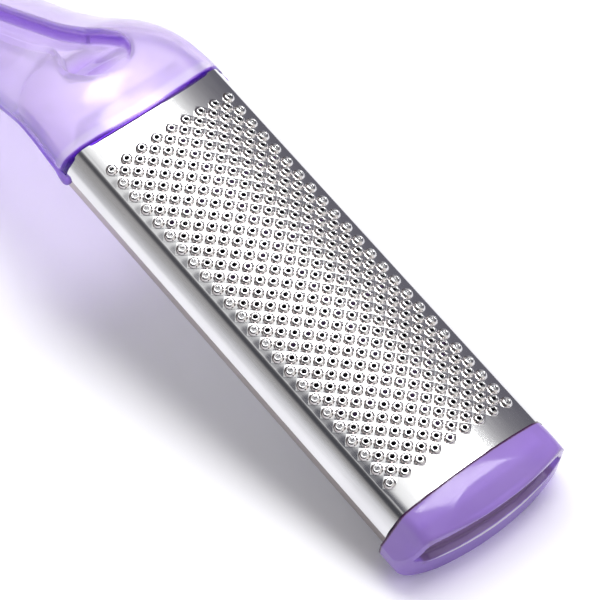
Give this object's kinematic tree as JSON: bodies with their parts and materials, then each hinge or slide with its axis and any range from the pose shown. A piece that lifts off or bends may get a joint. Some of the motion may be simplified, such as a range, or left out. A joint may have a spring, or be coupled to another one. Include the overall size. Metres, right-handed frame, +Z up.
{
  "type": "foot file",
  "caption": "Two-sided foot file with a crowned stainless rasp head, pierced raised teeth, a bent hollow handle with a recess, and an end cap.",
  "frame": {"origin": "on the table, under the middle of the file's box, as the file lies with its coarse side up", "axes": "+Y from the end cap towards the grip, +Z up from the table, +X across the file"},
  "size_m": [0.0478, 0.2446, 0.0545],
  "materials": {
    "stainless": "polished, with fine scratches",
    "lilac_shell": "glossy, translucent",
    "purple_cap": "glossy, translucent",
    "inner_frame": "moulded"
  },
  "bodies": {
    "root": {"coarse_plate": "stainless", "fine_plate": "stainless", "core": "inner_frame", "handle_upper": "lilac_shell", "handle_lower": "lilac_shell", "end_cap": "purple_cap"}
  },
  "joints": []
}
